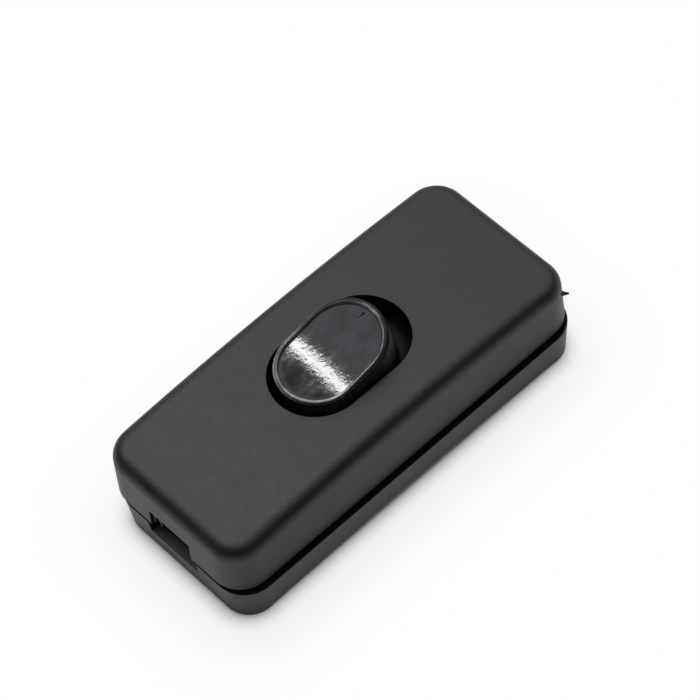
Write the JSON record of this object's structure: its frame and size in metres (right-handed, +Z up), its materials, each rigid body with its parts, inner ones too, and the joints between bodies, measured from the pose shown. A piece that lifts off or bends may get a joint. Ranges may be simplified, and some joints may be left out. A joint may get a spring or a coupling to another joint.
{
  "type": "inline cord switch",
  "caption": "Inline rocker switch for a lamp cord: flat box of two shells with a crowned top, a dished rocker in an obround opening and a cord inlet at each end",
  "frame": {"origin": "middle of the upper shell in plan, at the height of the feet that the switch stands on", "axes": "+X along the length towards the end with the rocker's tick mark, +Y across the width, +Z up through the rocker"},
  "size_m": [0.062, 0.0275, 0.0201],
  "materials": {
    "shell_black": "fine matt texture",
    "rocker_black": "polished",
    "grip_black": "satin",
    "plunger_ivory": "satin",
    "spring_steel": "drawn wire",
    "contact_brass": "stamped",
    "contact_silver": "pressed",
    "cage_steel": "nickel plated",
    "screw_steel": "zinc plated"
  },
  "bodies": {
    "housing": {"upper_shell": "shell_black", "lower_shell": "shell_black", "fixed_contact_strip": "contact_brass", "fixed_contact_tip": "contact_silver", "fulcrum_strip": "contact_brass", "neutral_link": "contact_brass", "terminal_cage_live_in": "cage_steel", "terminal_screw_live_in": "screw_steel", "terminal_cage_neutral_in": "cage_steel", "terminal_screw_neutral_in": "screw_steel", "cord_grip_in": "grip_black", "grip_screw_in_far": "screw_steel", "grip_screw_in_near": "screw_steel", "terminal_cage_live_out": "cage_steel", "terminal_screw_live_out": "screw_steel", "terminal_cage_neutral_out": "cage_steel", "terminal_screw_neutral_out": "screw_steel", "cord_grip_out": "grip_black", "grip_screw_out_far": "screw_steel", "grip_screw_out_near": "screw_steel", "housing_screw_in": "screw_steel", "housing_screw_out": "screw_steel"},
    "rocker": {"rocker": "rocker_black", "plunger_spring": "spring_steel"},
    "plunger": {"rocker_plunger": "plunger_ivory"},
    "seesaw": {"seesaw_contact": "contact_brass", "moving_contact_tip": "contact_silver"}
  },
  "joints": [
    {"name": "rocker_rock", "type": "hinge", "parent": "housing", "child": "rocker", "pos_m": [0.0004, 0, 0.0106], "axis": [0, 1, 0], "range_deg": [0, 20]},
    {"name": "plunger_slide", "type": "slide", "parent": "rocker", "child": "plunger", "axis": [-0.1736, 0, 0.9848], "range_m": [0, 0.0004], "stiffness_N_per_m": 100, "deforming": ["plunger_spring"]},
    {"name": "seesaw_tilt", "type": "hinge", "parent": "housing", "child": "seesaw", "pos_m": [0.0004, 0, 0.00606], "axis": [0, 1, 0], "range_deg": [-12, 0]}
  ],
  "couplings": [
    {"joint": "seesaw_tilt", "follows": "rocker_rock", "ratio": -0.6}
  ]
}
